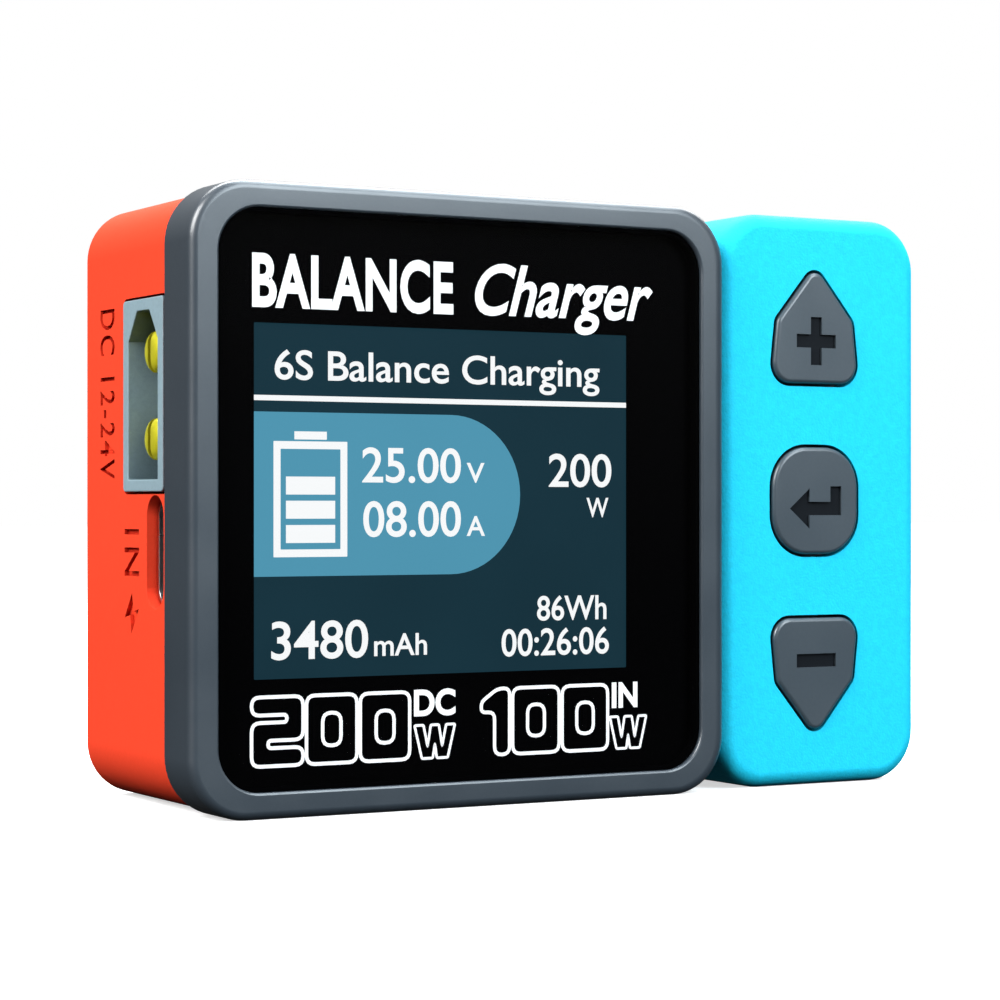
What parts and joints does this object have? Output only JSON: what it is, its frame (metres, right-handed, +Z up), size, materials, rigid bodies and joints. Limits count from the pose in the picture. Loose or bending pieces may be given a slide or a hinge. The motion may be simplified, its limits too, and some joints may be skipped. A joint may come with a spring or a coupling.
{
  "type": "balance battery charger",
  "caption": "Upright compact balance charger with a framed colour display, an orange rear case with DC and USB-C inlets, and a blue module with sprung keys and charge outlets.",
  "frame": {"origin": "centre of the bounding box's underside, on the surface that the charger stands on", "axes": "+Z up, +X to the right as seen from the display's front, +Y from the display towards the back"},
  "size_m": [0.0726, 0.0252, 0.051],
  "materials": {
    "bezel_grey": "satin",
    "black_glass": "polished",
    "black_foam": "matte",
    "lcd_glass": "smooth",
    "white_plastic": "matte",
    "steel": "satin",
    "ribbon_film": "satin",
    "orange_plastic": "satin",
    "blue_plastic": "fine grain",
    "circuit_board": "solder mask",
    "chip_black": "moulded",
    "connector_grey": "satin",
    "gold_contact": "gold plated",
    "heatsink_metal": "satin",
    "thermal_pad": "matte",
    "ferrite": "sintered",
    "shunt_metal": "satin",
    "fan_plastic": "satin",
    "bearing_bronze": "sintered",
    "stator_copper": "enamelled",
    "grille_plastic": "satin",
    "lead_insulation": "smooth",
    "switch_plastic": "satin",
    "key_grey": "satin",
    "screw_black": "black oxide"
  },
  "bodies": {
    "housing": {"front_bezel": "bezel_grey", "front_glass": "black_glass", "glass_adhesive": "black_foam", "lcd_cell": "lcd_glass", "lcd_backlight": "white_plastic", "lcd_frame": "steel", "lcd_ribbon": "ribbon_film", "ribbon_connector": "white_plastic", "rear_case": "orange_plastic", "side_case": "blue_plastic", "side_back_cover": "blue_plastic", "main_board": "circuit_board", "microcontroller": "chip_black", "dc_input_housing": "connector_grey", "dc_input_pins": "gold_contact", "usb_c_shell": "steel", "usb_c_tongue": "chip_black", "output_housing": "connector_grey", "output_sockets": "gold_contact", "balance_socket": "white_plastic", "balance_pins": "gold_contact", "heatsink": "heatsink_metal", "thermal_pad": "thermal_pad", "mosfets": "chip_black", "power_inductors": "ferrite", "capacitors": "heatsink_metal", "current_shunts": "shunt_metal", "balance_resistors": "chip_black", "buzzer": "chip_black", "fan_frame": "fan_plastic", "fan_bearing": "bearing_bronze", "fan_stator": "stator_copper", "fan_grille": "grille_plastic", "fan_plug": "white_plastic", "fan_lead": "lead_insulation", "switch_bodies": "switch_plastic", "case_screws": "screw_black", "side_cover_screws": "screw_black", "board_screws": "steel", "fan_screws": "screw_black"},
    "upper_key": {"key_up": "key_grey", "plunger_up": "switch_plastic"},
    "middle_key": {"key_enter": "key_grey", "plunger_enter": "switch_plastic"},
    "lower_key": {"key_down": "key_grey", "plunger_down": "switch_plastic"},
    "fan_wheel": {"fan_rotor": "fan_plastic", "fan_magnet": "ferrite"}
  },
  "joints": [
    {"name": "upper_key_press", "type": "slide", "parent": "housing", "child": "upper_key", "axis": [0, 1, 0], "range_m": [0, 0.0003], "stiffness_N_per_m": 2000, "springref_m": -0.0002},
    {"name": "middle_key_press", "type": "slide", "parent": "housing", "child": "middle_key", "axis": [0, 1, 0], "range_m": [0, 0.0003], "stiffness_N_per_m": 2000, "springref_m": -0.0002},
    {"name": "lower_key_press", "type": "slide", "parent": "housing", "child": "lower_key", "axis": [0, 1, 0], "range_m": [0, 0.0003], "stiffness_N_per_m": 2000, "springref_m": -0.0002},
    {"name": "fan_spin", "type": "hinge", "parent": "housing", "child": "fan_wheel", "pos_m": [-0.01045, 0.0075, 0.0255], "axis": [0, 1, 0], "continuous": true}
  ]
}
